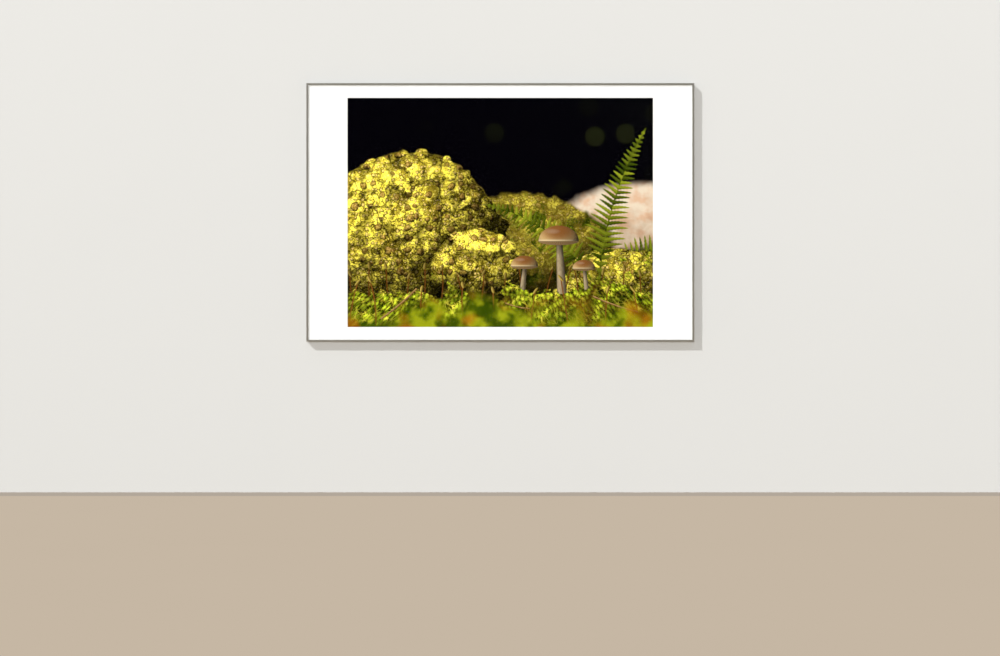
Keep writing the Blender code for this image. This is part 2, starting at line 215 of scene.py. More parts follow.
class Finish:
    """A material and the nodes that make it."""

    def __init__(self, name):
        self.material = bpy.data.materials.new(name)
        self.material.use_nodes = True
        self.tree = self.material.node_tree
        self.tree.nodes.clear()

    def node(self, kind, settings, sockets, output=0):
        """Adds a node: its settings first, then a value or a link for each socket named or numbered."""
        made = self.tree.nodes.new("ShaderNode" + kind)
        for name, value in settings.items():
            setattr(made, name, value)
        for place, value in sockets.items():
            if isinstance(value, Link):
                self.tree.links.new(value.socket, made.inputs[place])
            elif made.inputs[place].type == "VECTOR" and isinstance(value, (int, float)):
                made.inputs[place].default_value = (value, value, value)
            else:
                made.inputs[place].default_value = value
        return Link(self, made.outputs[output]) if made.outputs else None

    def maths(self, operation, *values):
        wide = any(isinstance(v, Link) and v.socket.type in ("VECTOR", "RGBA") for v in values)
        kind = "VectorMath" if wide else "Math"
        return self.node(kind, {"operation": operation}, dict(enumerate(values)))

    def number(self, operation, *values):
        """A Math node for what has no operator, such as SINE."""
        return self.node("Math", {"operation": operation}, dict(enumerate(values)))

    def root(self, value):
        return self.number("SQRT", value)

    def larger(self, a, b):
        return self.number("MAXIMUM", a, b)

    def place(self):
        return self.node("TexCoord", {}, {}, "Object")

    def vector(self, x=0, y=0, z=0):
        return self.node("CombineXYZ", {}, {0: x, 1: y, 2: z})

    def parts(self, vector):
        x = self.node("SeparateXYZ", {}, {0: vector})
        return x, x.output("Y"), x.output("Z")

    def step(self, value, start, end):
        """A smooth rise from 0 to 1 as value goes from start to end, which may be the lower."""
        rise = {1: start, 2: end} if end > start else {1: end, 2: start, 3: 1, 4: 0}
        return self.node("MapRange", {"interpolation_type": "SMOOTHSTEP"}, {0: value, **rise})

    def mix(self, factor, a, b):
        """Colour a where factor is 0, and colour b where it is 1."""
        a, b = (c if isinstance(c, Link) else (*c, 1) for c in (a, b))
        return self.node("Mix", {"data_type": "RGBA"}, {0: factor, 6: a, 7: b}, 2)

    def toned(self, tone, colour):
        """The colour, made darker where tone is below 1."""
        return self.mix(tone, (0, 0, 0), colour)

    def blend(self, factor, a, b):
        """Number a where factor is 0, and number b where it is 1."""
        return self.node("Mix", {"data_type": "FLOAT"}, {0: factor, 2: a, 3: b})

    def over(self, mask, above, below):
        """The numbers above where the mask is 1, and the numbers below where it is 0."""
        return [self.blend(mask, b, a) for a, b in zip(above, below)]

    def noise(self, where, scale, detail=3, roughness=0.55, output=0, dimensions="3D"):
        sockets = {"Vector": where, "Scale": scale, "Detail": detail, "Roughness": roughness}
        return self.node("TexNoise", {"noise_dimensions": dimensions}, sockets, output)

    def cells(self, where, scale, randomness=1, dimensions="2D"):
        sockets = {"Vector": where, "Scale": scale, "Randomness": randomness}
        return self.node("TexVoronoi", {"voronoi_dimensions": dimensions}, sockets)

    def random(self, number):
        """Three random numbers for each number."""
        return self.parts(self.node("TexWhiteNoise", {"noise_dimensions": "1D"}, {"W": number}, "Color"))

    def bump(self, height, strength, distance):
        return self.node("Bump", {}, {"Height": height, "Strength": strength, "Distance": distance})

    def surface(self, **values):
        """Ends the finish with a Principled shader. Its sockets' names have underscores for spaces."""
        sockets = {name.replace("_", " "): value for name, value in values.items()}
        return self.end(self.node("BsdfPrincipled", {}, sockets))

    def end(self, shader):
        self.node("OutputMaterial", {}, {0: shader})
        return self.material


def times(colour, share):
    return tuple(min(1, part * share) for part in colour)


def anodised(name, along):
    """Satin anodised aluminium, with faint drawing lines along X or Z."""
    rails = settings().rails
    finish = Finish(name)
    x, y, z = finish.parts(finish.place())
    run, cross = (x, z) if along == "X" else (z, x)
    lines = finish.noise(finish.vector(run * 9, cross * 2600, y * 2600), 1, 3, 0.6)
    cloud = finish.noise(finish.place(), 38, 3, 0.5)
    tone = 0.90 + lines * 0.14 + cloud * 0.06
    return finish.surface(
        Base_Color=finish.toned(tone, rails.colour),
        Metallic=1.0,
        Roughness=rails.roughness - 0.08 + lines * 0.10 + cloud * 0.06,
        Normal=finish.bump(lines, 0.12, 0.02 * MM),
    )


def clear_acrylic():
    """Coated acrylic: what lies behind shows through, with a weak mirror that grows at a slant."""
    finish = Finish("coated_acrylic")
    through = finish.node("BsdfTransparent", {}, {"Color": (0.985, 0.99, 0.988, 1)})
    shine = finish.node("BsdfGlossy", {}, {"Color": (1, 1, 1, 1), "Roughness": 0.03})
    slant = finish.node("Fresnel", {}, {"IOR": settings().sheets.glazing_index})
    return finish.end(finish.node("MixShader", {}, {0: slant, 1: through, 2: shine}))


def mat_face():
    """The mat's facing paper, with a faint tooth."""
    finish = Finish("mat_paper")
    tooth = finish.noise(finish.place(), 900, 4, 0.65)
    cloud = finish.noise(finish.place(), 14, 3, 0.5)
    tone = 0.985 + tooth * 0.012 + cloud * 0.012
    return finish.surface(
        Base_Color=finish.toned(tone, settings().sheets.mat_colour),
        Roughness=0.82 + tooth * 0.1,
        Normal=finish.bump(tooth, 0.25, 0.05 * MM),
    )


def mat_core():
    """The cut bevel of the mat, where the core's fibres show."""
    finish = Finish("mat_core")
    fibre = finish.noise(finish.place(), 2400, 3, 0.7)
    return finish.surface(
        Base_Color=finish.toned(0.93 + fibre * 0.1, settings().sheets.core_colour),
        Roughness=0.9,
        Normal=finish.bump(fibre, 0.4, 0.05 * MM),
    )


def hardboard():
    """Brown hardboard with pressed fibres, and the screen's print on its rear face."""
    finish = Finish("hardboard")
    where = finish.place()
    x, y, z = finish.parts(where)
    bend = finish.noise(where, 160, 2, 0.5, "Color") - 0.5
    fibre = abs(finish.noise(finish.vector(x, y, z * 1.5) + bend * 0.004, 700, 4, 0.6) - 0.5)
    fleck = finish.noise(where, 900, 4, 0.75)
    cloud = finish.noise(where, 6, 4, 0.6)
    screen = finish.number("SINE", x * 2600) * finish.number("SINE", z * 2600)
    base = settings().sheets.board_colour
    colour = finish.mix(finish.step(fibre, 0.10, 0.0), times(base, 0.82), times(base, 1.35))
    colour = finish.mix(finish.step(fleck, 0.58, 0.72) * 0.6, colour, times(base, 0.45))
    colour = finish.mix(finish.step(cloud, 0.3, 0.8) * 0.3, colour, times(base, 1.45))
    colour = colour * (0.92 + screen * 0.10)
    height = 0.5 - fibre * 2 + screen * 0.5 + fleck * 0.3
    return finish.surface(
        Base_Color=colour,
        Roughness=0.62 + fleck * 0.25,
        Normal=finish.bump(height, 0.5, 0.12 * MM),
    )


def zinc_steel():
    """Zinc-plated steel with rolling lines and dull spangle."""
    finish = Finish("zinc_steel")
    where = finish.place()
    x, y, z = finish.parts(where)
    rolled = finish.noise(finish.vector(x * 60, y * 2500, z * 2500), 1, 3, 0.6)
    spangle = finish.cells(where, 420, dimensions="3D").output("Color")
    grain, _, _ = finish.parts(spangle)
    smear = finish.noise(where, 90, 4, 0.6)
    steel = settings().hardware.steel
    colour = finish.mix(grain * 0.35 + rolled * 0.3, times(steel, 0.82), times(steel, 1.12))
    colour = finish.mix(finish.step(smear, 0.52, 0.75) * 0.3, colour, (0.52, 0.50, 0.44))
    return finish.surface(
        Base_Color=colour,
        Metallic=1.0,
        Roughness=0.26 + smear * 0.18 + rolled * 0.06,
        Normal=finish.bump(rolled, 0.1, 0.03 * MM),
    )


def spring_steel():
    """Blue tempered steel with a straw tint in patches and scuffs where it is pressed in."""
    finish = Finish("spring_steel")
    where = finish.place()
    temper = finish.noise(where, 45, 3, 0.5)
    scuff = finish.noise(where, 700, 4, 0.7)
    spring = settings().hardware.spring
    colour = finish.mix(finish.step(temper, 0.45, 0.75) * 0.5, spring, (0.36, 0.31, 0.22))
    colour = finish.mix(finish.step(scuff, 0.58, 0.72) * 0.45, colour, (0.52, 0.53, 0.54))
    return finish.surface(
        Base_Color=colour,
        Metallic=1.0,
        Roughness=0.24 + scuff * 0.2,
        Normal=finish.bump(scuff, 0.15, 0.03 * MM),
    )


def soft_pad():
    """Soft grey polyurethane, a little cloudy."""
    finish = Finish("soft_pad")
    cloud = finish.noise(finish.place(), 500, 3, 0.6)
    return finish.surface(
        Base_Color=finish.toned(0.85 + cloud * 0.25, settings().hardware.pad),
        Roughness=0.42 + cloud * 0.2,
        Normal=finish.bump(cloud, 0.15, 0.05 * MM),
    )


# The picture on the print


class Scenery:
    """Place in the picture, in heights of the window from its middle, and the noises its parts share."""

    def __init__(self, f, right, up):
        self.right, self.up = right, up
        self.flat = f.vector(right, up)
        self.lump = f.noise(self.flat, 9, 3, 0.62) - 0.5
        self.slow = f.noise(self.flat, 3.1, 2, 0.5) - 0.5
        self.tuft = f.noise(self.flat, 70, 2, 0.6) - 0.5
        self.wobble = f.noise(self.flat, 14, 2, 0.6, "Color") - 0.5
        self.moved = self.flat + self.wobble * 0.08
        self.cushion = f.cells(self.moved, 15, 1)


def stone(f, spot, centre, size, turn, soft, rough):
    """(mask, how far right, how far up, distance from the middle) on one round stone."""
    c, s = math.cos(turn), math.sin(turn)
    x, y = spot.right - centre[0], spot.up - centre[1]
    right = (x * c + y * s) / size[0]
    up = (y * c - x * s) / size[1]
    reach = f.root(right * right + up * up) - rough
    return f.step(reach, 1 + soft, 1 - soft), right, up, reach


def dark_wood(f, spot, tints, rough):
    """Unlit wood with a few faint discs of light, and a pale stone out of focus before it."""
    glow = f.noise(spot.flat, 1.7, 1) + spot.right * 0.35
    colour = f.mix(f.step(glow, 0.50, 0.95), tints.dark, (0.0016, 0.0016, 0.0022))
    disc = f.cells(spot.flat, 7, 0.9)
    spark, _, _ = f.parts(disc.output("Color"))
    high = f.step(spot.right * 0.5 + spot.up, 0.1, 0.6)
    disc = f.step(disc, 0.34, 0.26) * f.step(spark, 0.72, 1.0) * high
    colour = f.mix(disc * 0.3, colour, (0.030, 0.036, 0.008))
    pale, right, up, _ = stone(f, spot, (0.56, -0.02), (0.30, 0.14), 0.12, 0.16, rough * 0.5)
    lit = f.step(up * 0.8 - right * 0.4 + spot.lump * 2.2, -1.5, 0.5)
    streak = f.step(f.noise(spot.flat + (2.3, 0, 0), 13, 3, 0.6), 0.34, 0.62)
    pale_colour = f.mix(streak, (0.78, 0.50, 0.33), tints.pale)
    return f.mix(pale, colour, f.mix(lit, (0.34, 0.20, 0.11), pale_colour))


def warts(f, place, scale, share):
    """(cover, distance from the middle, how far right, how far up) of raised round spots."""
    cell = f.cells(place, scale, 0.75)
    right, up, _ = f.parts((place - cell.output("Position")) * scale)
    size, pick, _ = f.parts(cell.output("Color"))
    reach = cell / (size * 0.20 + 0.19)
    cover = f.step(reach, 1.15, 0.9) * f.step(pick, 1 - share, 1.02 - share)
    return cover, reach, right * cover, up * cover


def lichen(f, spot, tints, place, mottle, lean_right, lean_up, facing):
    """Yellow lichen in cushions, with a dark net, raised warts and cracks."""
    swell, tint, _ = f.parts(spot.cushion.output("Color"))
    cushion_right, cushion_up, _ = f.parts(spot.moved - spot.cushion.output("Position"))
    fleck = f.noise(place, 120, 3, 0.75) - 0.5
    shaken = place + spot.wobble * 0.03 + fleck * 0.006
    big, big_reach, big_right, big_up = warts(f, shaken, 21, 0.50)
    small, small_reach, small_right, small_up = warts(f, shaken + (0.4, 0.7, 0), 47, 0.6)
    grain_right, grain_up, _ = f.parts(f.noise(place, 75, 4, 0.65, "Color", "2D") - 0.5)
    bulge = swell * 16 + 5
    right = lean_right * 0.8 + cushion_right * bulge + grain_right * 2.6
    right = right + big_right * 3.0 + small_right * 2.0
    up = lean_up * 0.8 + cushion_up * bulge + grain_up * 2.6 + big_up * 3.0 + small_up * 2.0
    light = facing * 0.55 + up * 0.62 - right * 0.38
    light = light / f.root(facing * facing + right * right + up * up + 0.05)
    light = f.step(light, -0.35, 1.0)

    sunny = f.step(mottle + (tint - 0.5) * 0.25 + fleck * 0.8, -0.14, 0.08)
    skin = f.mix(sunny, tints.olive, tints.yellow)
    skin = f.mix(f.step(fleck + mottle * 0.6, 0.10, 0.20) * 0.6, skin, tints.cream)
    rust = f.step(spot.lump + mottle * 0.9, 0.12, 0.30)
    skin = f.mix(rust * 0.6, skin, (0.50, 0.23, 0.022))
    lines = abs(f.noise(place, 36, 3, 0.66) - 0.5)
    net = f.step(lines, 0.050, 0.015) * f.step(mottle + spot.slow * 0.8, 0.16, 0.02)
    skin = f.mix(net * 0.92, skin, tints.gap)
    bead = f.mix(f.step(small_reach, 0.5, 0.9), (0.55, 0.40, 0.11), tints.gap)
    skin = f.mix(small * 0.85, skin, bead)
    knot = f.mix(f.step(fleck, -0.12, 0.12), tints.brown, (0.30, 0.19, 0.045))
    skin = f.mix(big * 0.85, skin, f.mix(f.step(big_reach, 0.6, 1.0), knot, tints.gap))
    skin = f.mix(f.step(spot.cushion, 0.40, 0.66) * 0.6, skin, tints.gap)
    crack = f.node("TexVoronoi", {"voronoi_dimensions": "2D", "feature": "DISTANCE_TO_EDGE"},
                   {"Vector": spot.flat + spot.wobble * 0.16, "Scale": 4.2, "Randomness": 1})
    crevice = f.step(crack + spot.tuft * 0.04, 0.05, 0.0)
    skin = skin * (light * 1.95 + 0.16) * (1 - crevice * 0.8)
    glint = f.step(light + fleck * 0.8, 1.0, 1.2)
    return f.mix(glint * 0.6, skin, (0.95, 0.90, 0.55))


def moss_stars(f, place, scale, leaves, breadth, shift):
    """(leaf, tone, distance from the tip) of moss seen from above, with leaves round each tip."""
    moved = place + shift
    star = f.cells(moved, scale, 0.9)
    x, y, _ = f.parts((moved - star.output("Position")) * scale)
    tone, turn, tip = f.parts(star.output("Color"))
    angle = f.number("ARCTAN2", y, x) / (2 * math.pi) * leaves + turn * leaves
    from_leaf = abs(f.number("FRACT", angle) - 0.5) * star * (2 * math.pi / leaves)
    width = (0.85 - star) * (breadth + tip * 0.08)
    leaf = f.step(from_leaf / f.larger(width, 0.01), 1.3, 0.2)
    return leaf, tone, star


def moss(f, spot, tints):
    """Green moss, three layers of stars deep, with dry patches."""
    near = 1.2 + f.larger(spot.up + 0.5, 0.0) * 1.6
    place = f.vector(spot.right, spot.up * 1.45) * near + spot.wobble * 0.03
    leaf, tone, star = moss_stars(f, place, 58, 7, 0.16, 3.7)
    colour = f.mix(tone, tints.green, tints.olive) * (leaf * f.step(star, 0.9, 0.1) * 0.9 + 0.10)
    leaf, tone, star = moss_stars(f, place, 40, 9, 0.13, 0.0)
    fresh = f.mix(tone, tints.green, tints.bright) * (f.step(star, 0.85, 0.05) * 0.9 + 0.3)
    colour = f.mix(leaf * f.step(tone, 0.05, 0.3), colour, fresh)
    leaf, tone, star = moss_stars(f, place + spot.wobble * 0.05, 26, 6, 0.035, 5.3)
    blade = f.mix(tone, tints.bright, tints.yellow) * (f.step(star, 0.9, 0.1) * 0.8 + 0.25)
    colour = f.mix(leaf * f.step(tone, 0.25, 0.4) * 0.85, colour, blade)
    hummock = f.noise(spot.flat + f.vector(-0.02, 0.03), 8, 1) - f.noise(spot.flat, 8, 1)
    colour = colour * (f.step(hummock, -0.10, 0.10) * 1.1 + 0.45)
    dry = f.step(f.noise(spot.flat + (7.7, 0, 0), 6, 2), 0.56, 0.68)
    return f.mix(dry * 0.6, colour, f.mix(leaf, (0.09, 0.035, 0.004), (0.34, 0.15, 0.014)))


def land(f, spot, tints, colour, rough):
    """(colour, bank, what hides the fronds) with the stones and the bank of moss before the colour."""
    stones = (  # centre, size, turn, softness, nearness, greenness
        ((0.13, -0.15), (0.36, 0.23), -0.16, 0.06, 0.30, 0.30),
        ((-0.40, -0.10), (0.40, 0.35), 0.06, 0.02, 0.85, 0.02),
        ((-0.10, -0.25), (0.20, 0.17), -0.30, 0.02, 0.92, 0.12),
        ((0.54, -0.36), (0.30, 0.20), 0.12, 0.02, 0.95, 0.3),
    )
    for n, (centre, size, turn, soft, nearness, greenness) in enumerate(stones):
        mask, right, up, reach = stone(f, spot, centre, size, turn, soft, rough)
        if n == 0:
            cover = far_cover = mask
            shadow, layers = 1.0, (right, up, mask * nearness, mask * greenness)
            continue
        shadow = f.blend(mask, shadow * (f.step(reach, 0.9, 1.25) * 0.85 + 0.15), 1.0)
        cover = f.larger(cover, mask)
        layers = f.over(mask, (right, up, nearness, greenness), layers)

    foot = spot.up + 0.345 - spot.slow * 0.34 + spot.lump * 0.14 - spot.tuft * 0.045
    bank = f.step(foot, 0.008, -0.008)
    shadow = f.blend(bank, shadow * f.step(foot, -0.02, 0.11) * 0.75 + 0.25, 1.0)
    cover = f.larger(cover, bank)
    rise = f.larger(foot * 4 + 0.75, -0.35)
    lean_right, lean_up, near, green = f.over(bank, (spot.slow, rise, 1.0, 1.0), layers)
    facing = f.root(f.larger(1 - lean_right * lean_right - lean_up * lean_up, 0.04))
    hollow = f.noise(spot.flat + f.vector(-0.012, 0.012), 9, 3, 0.62) - 0.5 - spot.lump
    lit = lean_up * 0.55 - lean_right * 0.40 + facing * 0.45 + hollow * 2.2
    shade = f.step(lit, -0.50, 0.80) * shadow

    squeeze = f.step(facing, 0.6, 0.0) * 0.02
    place = spot.flat + f.vector(lean_right * squeeze, lean_up * squeeze)
    mottle = f.noise(place, 22, 4, 0.7) - 0.5
    green = f.step(green + mottle * 1.4 + spot.lump * 1.8, 0.35, 0.60)
    crust = lichen(f, spot, tints, place, mottle, lean_right, lean_up, facing)
    sharp = f.mix(green, crust, moss(f, spot, tints)) * (shade * 1.15 + 0.10)
    blurred = f.mix(green, (0.188, 0.138, 0.013), (0.045, 0.065, 0.0018)) * (shade * 1.05 + 0.04)
    sharp = f.mix(f.step(near, 0.95, 0.0) * 0.8, sharp, blurred)
    return f.mix(cover, colour, sharp), bank, f.larger(0, cover - far_cover)


def frond(f, spot, root, heading, length, bend, width, pairs, soft):
    """(mask, light, tone) of one fern frond: an arc that carries pairs of lobed leaflets."""
    radius = length / abs(bend)
    side = 1 if bend > 0 else -1
    centre_x = root[0] - side * radius * math.sin(heading)
    centre_y = root[1] + side * radius * math.cos(heading)
    mid = math.atan2(root[1] - centre_y, root[0] - centre_x) + bend / 2
    c, s = math.cos(mid), math.sin(mid)
    x, y = spot.right - centre_x, spot.up - centre_y
    forward, sideways = x * c + y * s, y * c - x * s
    angle = f.number("ARCTAN2", sideways, forward)
    along = (angle * side + abs(bend) / 2) / abs(bend)
    across = f.root(forward * forward + sideways * sideways) - radius
    out = abs(across)
    base = along - out * (0.42 / length) + out * out * (1.6 / length)
    count = f.larger(base, 0.0) ** 1.15 * pairs
    tone, longer, _ = f.random(f.number("FLOOR", count) + f.number("SIGN", across) * 0.5)
    reach = f.larger(1 - base, 0.0) ** 0.85 * f.step(base, -0.02, 0.34)
    reach = reach * (0.86 + longer * 0.2) * width
    far = out / f.larger(reach, 0.0005)
    half = f.larger(1 - far, 0.0) ** 0.6 * 0.46
    lobes = abs(f.number("SINE", out * 230 + longer * 3))
    in_leaflet = f.number("FRACT", count) - 0.5
    off = abs(in_leaflet)
    leaflet = f.step(off - half * (0.72 + lobes * 0.28), soft, -soft) * f.step(far, 1.02, 0.9)
    stem = f.step(out, 0.0045, 0.0025)
    ends = f.step(along, 0.0, 0.01) * f.step(along, 1.0, 0.97)
    light = 0.30 + tone * 0.30 + f.step(in_leaflet, -0.05, 0.05) * 0.28 + far * 0.18
    light = light + f.step(off, 0.07, 0.02) * 0.2
    light = light * (f.step(along, 0.0, 0.5) * 0.55 + 0.45)
    return f.larger(leaflet, stem) * ends, light, tone


def fern(f, spot, colour, hidden):
    """Three fronds before the colour, where nothing hides them."""
    fronds = (  # root, heading, length, bend, width, pairs, softness
        ((0.40, -0.30), 2.10, 0.60, 0.85, 0.12, 26, 0.12),
        ((0.46, -0.30), 0.85, 0.50, -0.9, 0.11, 24, 0.10),
        ((0.43, -0.31), 1.50, 0.72, -0.45, 0.13, 30, 0.07),
    )
    for shape in fronds:
        mask, light, tone = frond(f, spot, *shape)
        blade = f.mix(tone, (0.075, 0.120, 0.004), (0.330, 0.380, 0.020)) * light
        colour = f.mix(mask * (1 - hidden), colour, blade)
    return colour


def toadstools(f, spot, colour):
    """A group of small brown toadstools before the colour."""
    grain = f.noise(f.vector(spot.right * 3, spot.up), 55, 3, 0.6)
    group = (  # cap's middle, its half width, height of the stem, lean
        ((0.255, -0.125), 0.088, 0.36, 0.05),
        ((0.105, -0.235), 0.060, 0.27, -0.10),
        ((0.365, -0.245), 0.050, 0.24, 0.12),
    )
    for n, (centre, half, tall, lean) in enumerate(group):
        x, y = (spot.right - centre[0]) / half, (spot.up - centre[1]) / half
        down = f.larger(-1 * y, 0.0)
        dome = f.step(x * x + (y / 0.78) * (y / 0.78), 1.03, 0.97) * f.step(y, -0.01, 0.01)
        skirt = f.step(x * x + (y / 0.20) * (y / 0.20), 1.03, 0.97) * f.step(y, 0.01, -0.01)
        bent = x - down * lean - 0.03
        thick = 0.15 + down * 0.035
        stem = f.step(abs(bent) - thick, 0.02, -0.02) * f.step(y, 0.0, -0.02)
        stem = stem * f.step(down, tall / half, tall / half - 0.1)
        mask = f.larger(dome, f.larger(skirt, stem))
        shape = (x, y, dome, skirt, bent, thick)
        cover, layers = (f.larger(cover, mask), f.over(mask, shape, layers)) if n else (mask, shape)
    right, up, caps, skirts, bend, width = layers
    rise = up / 0.78
    face = f.root(f.larger(1.02 - right * right - rise * rise, 0.02))
    light = f.step(face * 0.55 + rise * 0.55 - right * 0.45 + (grain - 0.5) * 0.25, -0.25, 1.05)
    crown = f.step(right * right * 0.7 + (rise - 0.75) * (rise - 0.75), 0.9, 0.0)
    cap = f.mix(crown, (0.56, 0.37, 0.155), (0.22, 0.085, 0.022))
    cap = f.mix(f.step(rise, 0.16, 0.03) * 0.6, cap, (0.80, 0.66, 0.42)) * (light * 1.25 + 0.05)
    gleam = f.step((right + 0.30) * (right + 0.30) * 0.5 + (rise - 0.62) * (rise - 0.62) * 2.2, 0.10, -0.06)
    cap = f.mix(gleam * 0.16, cap, (1, 0.93, 0.75))
    folds = abs(f.number("SINE", right / f.larger(1.15 + up * 3, 0.3) * 30))
    gills = f.mix(folds, (0.10, 0.055, 0.02), (0.30, 0.19, 0.085)) * (0.9 - right * 0.3)
    turn = bend / width
    round_light = f.step(turn, 1.1, -0.7) * f.step(turn, -1.3, -0.6)
    stem = f.mix(grain, (0.26, 0.17, 0.08), (0.74, 0.60, 0.38))
    stem = stem * (round_light * 0.85 + 0.10) * (f.step(up, -0.15, -0.9) * 0.65 + 0.35)
    return f.mix(cover, colour, f.mix(caps, f.mix(skirts, stem, gills), cap))


def stalks(f, spot, colour, foot, tall, spacing, shift, dim):
    """A row of moss stalks, each with its spore capsule, before the colour."""
    count = spot.right / spacing + shift
    side, long, lean = f.random(f.number("FLOOR", count))
    y = spot.up - foot
    high = (0.45 + long * 0.55) * tall
    x = (f.number("FRACT", count) - 0.5 - (side - 0.5) * 0.4) * spacing - (lean - 0.5) * y * 0.35
    x = x - (side - 0.5) * y * y * 2
    stalk = f.step(abs(x), 0.0034, 0.0016) * f.step(y - high, 0.002, 0)
    colour = f.mix(stalk, colour, times((0.22, 0.075, 0.012), dim))
    tilt = x - (y - high) * (lean - 0.5) * 1.2
    capsule = f.step(f.root((tilt / 0.0068) ** 2 + ((y - high) / 0.0145) ** 2), 1.15, 0.85)
    dark, bright = times((0.10, 0.06, 0.006), dim), times((0.62, 0.45, 0.09), dim)
    return f.mix(capsule, colour, f.mix(f.step(tilt, 0.006, -0.006), dark, bright))


def needles(f, spot, colour):
    """A few dry needles before the colour."""
    fallen = (  # two ends, half width
        ((-0.52, -0.47), (-0.36, -0.335), 0.0055),
        ((0.02, -0.40), (0.13, -0.425), 0.0035),
        ((0.40, -0.37), (0.60, -0.44), 0.005),
    )
    for start, end, half in fallen:
        run, rise = end[0] - start[0], end[1] - start[1]
        long = math.hypot(run, rise)
        x, y = spot.right - start[0], spot.up - start[1]
        along = (x * run + y * rise) / (long * long)
        off = (y * run - x * rise) / long - (along - 0.5) * (along - 0.5) * 0.02
        needle = f.step(abs(off), half, half * 0.6) * f.step(along, 0, 0.02) * f.step(along, 1, 0.98)
        lit = f.step(off + spot.tuft * 0.01, half, -half)
        colour = f.mix(needle, colour, f.mix(lit, (0.55, 0.33, 0.11), (0.10, 0.04, 0.008)))
    return colour


def blurred_front(f, spot, colour):
    """Moss and dead leaves out of focus, along the foot of the picture."""
    edge = f.noise(spot.flat, 5.5, 1)
    blur = f.step(spot.up + (edge - 0.5) * 0.34, -0.375, -0.47)
    patch = f.noise(spot.flat + (1.7, 0, 0), 13, 2, 0.5)
    front = f.mix(f.step(patch, 0.36, 0.62), (0.040, 0.075, 0.001), (0.36, 0.40, 0.010))
    dead = f.step(f.noise(spot.flat + (3.1, 0, 0), 8, 1), 0.50, 0.66)
    front = f.mix(dead * 0.9, front, f.mix(patch, (0.10, 0.022, 0.001), (0.62, 0.24, 0.010)))
    return f.mix(blur * 0.94, colour, front)


def woodland(f, right, up, tints):
    """The colour of lichened stones, moss, a fern and toadstools before a dark wood."""
    spot = Scenery(f, right, up)
    swell, _, _ = f.parts(spot.cushion.output("Color"))
    knob = f.step(spot.cushion, 0.55, 0.0) * (swell * 0.8 + 0.2)
    rough = spot.lump * 0.22 + spot.slow * 0.30 + knob * 0.10
    colour = dark_wood(f, spot, tints, rough)
    colour, bank, hidden = land(f, spot, tints, colour, rough)
    colour = fern(f, spot, colour, hidden)
    behind = toadstools(f, spot, stalks(f, spot, colour, -0.36, 0.16, 0.085, 0.3, 0.6))
    colour = f.mix(bank, behind, colour)
    colour = stalks(f, spot, colour, -0.44, 0.17, 0.16, 7.7, 1.0)
    return blurred_front(f, spot, needles(f, spot, colour))


# Shapes


def place_of(side):
    """Where a side's pieces go: +X along the side, +Z inward and -Y to the front."""
    x, z, turn = {
        "bottom": (0, -FRAME_H / 2, 0),
        "right": (FRAME_W / 2, 0, -QUARTER),
        "top": (0, FRAME_H / 2, 2 * QUARTER),
        "left": (-FRAME_W / 2, 0, QUARTER),
    }[side]
    return Matrix.Translation(MIDDLE + Vector((x, 0, z))) @ Matrix.Rotation(turn, 4, "Y")


def seat(node, sunk=0):
    """Where a turned mesh goes: in the middle of a CAD node, at its rear end or sunk in from it."""
    low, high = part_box(node)
    middle = (low + high) / 2
    return Matrix.Translation((middle.x, high.y - sunk, middle.z))


def add(name, data):
    """An object in the scene that shows the data."""
    made = bpy.data.objects.new(name, data)
    bpy.context.scene.collection.objects.link(made)
    return made


def mesh_of(name, bm):
    mesh = bpy.data.meshes.new(name)
    bm.to_mesh(mesh)
    bm.free()
    return mesh


def shown(made):
    """A bmesh of the object as its modifiers and its curve's settings leave it."""
    graph = bpy.context.evaluated_depsgraph_get()
    bm = bmesh.new()
    bm.from_mesh(made.evaluated_get(graph).to_mesh())
    return bm


def piece(name, bm, place, finishes, node):
    """Puts a mesh in its place as a piece that stands for a CAD node."""
    bmesh.ops.transform(bm, matrix=place, verts=bm.verts)
    bmesh.ops.recalc_face_normals(bm, faces=bm.faces)
    mesh = mesh_of(name, bm)
    for finish in finishes:
        mesh.materials.append(finish)
    mesh.shade_smooth()
    mesh.set_sharp_from_angle(angle=CREASE)
    made = add(name, mesh)
    shading = made.modifiers.new("even_shading", "WEIGHTED_NORMAL")
    shading.keep_sharp = True
    shading.weight = 100
    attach(made, BODY)
    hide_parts(node)
    return made


def refinish(node, finish):
    """Gives a CAD node that stays its finish."""
    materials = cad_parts[node].data.materials
    materials.clear()
    materials.append(finish)


def soften(bm, edges, radius, segments):
    bmesh.ops.bevel(
        bm, geom=edges, offset=radius, offset_type="OFFSET", segments=segments,
        profile=0.5, affect="EDGES", material=-1, clamp_overlap=True,
    )


def slab(low, high):
    bm = bmesh.new()
    bmesh.ops.create_cube(bm, size=1)
    low, high = Vector(low), Vector(high)
    bmesh.ops.scale(bm, vec=high - low, verts=bm.verts)
    bmesh.ops.translate(bm, vec=(low + high) / 2, verts=bm.verts)
    return bm


def slab_of(node):
    """A slab of the same size and place as a CAD sheet."""
    return slab(*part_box(node))


def turned(profile, segments):
    """A round mesh about Y from (radius, y) points that start and end on its axis."""
    bm = bmesh.new()
    verts = [bm.verts.new((radius, y, 0)) for radius, y in profile]
    edges = [bm.edges.new(pair) for pair in zip(verts, verts[1:])]
    bmesh.ops.spin(
        bm, geom=verts + edges, axis=(0, 1, 0), cent=(0, 0, 0),
        angle=2 * math.pi, steps=segments, use_merge=True,
    )
    bmesh.ops.remove_doubles(bm, verts=bm.verts, dist=MERGE)
    bmesh.ops.recalc_face_normals(bm, faces=bm.faces)
    return bm


def arc(centre, radius, start, end, steps):
    """Points on a circle's arc, with its angles in degrees."""
    turns = [math.radians(start + (end - start) * i / steps) for i in range(steps + 1)]
    return [(centre[0] + radius * math.cos(t), centre[1] + radius * math.sin(t)) for t in turns]


